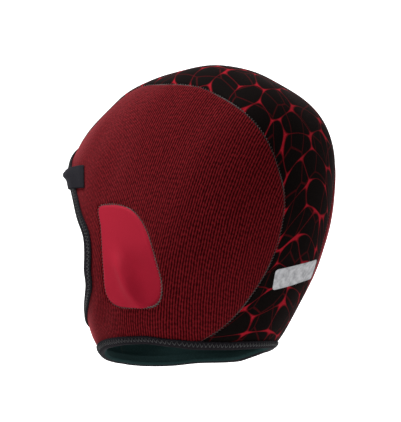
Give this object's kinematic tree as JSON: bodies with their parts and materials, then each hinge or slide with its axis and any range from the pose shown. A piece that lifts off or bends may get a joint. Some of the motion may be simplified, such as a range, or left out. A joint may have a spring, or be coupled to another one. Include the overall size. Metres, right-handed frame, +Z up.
{
  "type": "neoprene cap",
  "caption": "Close-fitting full head cap of thin neoprene with taped face and neck openings, set-in ear patches and a patterned centre panel from forehead to nape.",
  "frame": {"origin": "Inside of the crown, on the midline above the ear axis, where the cap rests on the top of the head", "axes": "+Z up, the face looks towards -Y, the wearer's left is +X"},
  "size_m": [0.16, 0.1987, 0.2085],
  "materials": {
    "side_cloth": "matte ribbed dark red knit over neoprene",
    "centre_cloth": "matte black knit with a dark red net of cells",
    "ear_cloth": "smooth bright red moulded cloth",
    "edge_tape": "dark grey stretch tape, zigzag stitched",
    "tab_tape": "dark grey woven tab",
    "strip_film": "pale grey film"
  },
  "bodies": {
    "root": {"side_panel_left": "side_cloth", "side_panel_right": "side_cloth", "centre_panel": "centre_cloth", "ear_patch_left": "ear_cloth", "ear_patch_right": "ear_cloth", "face_binding": "edge_tape", "neck_binding": "edge_tape", "binding_tab": "tab_tape", "nape_strip": "strip_film"}
  },
  "joints": []
}
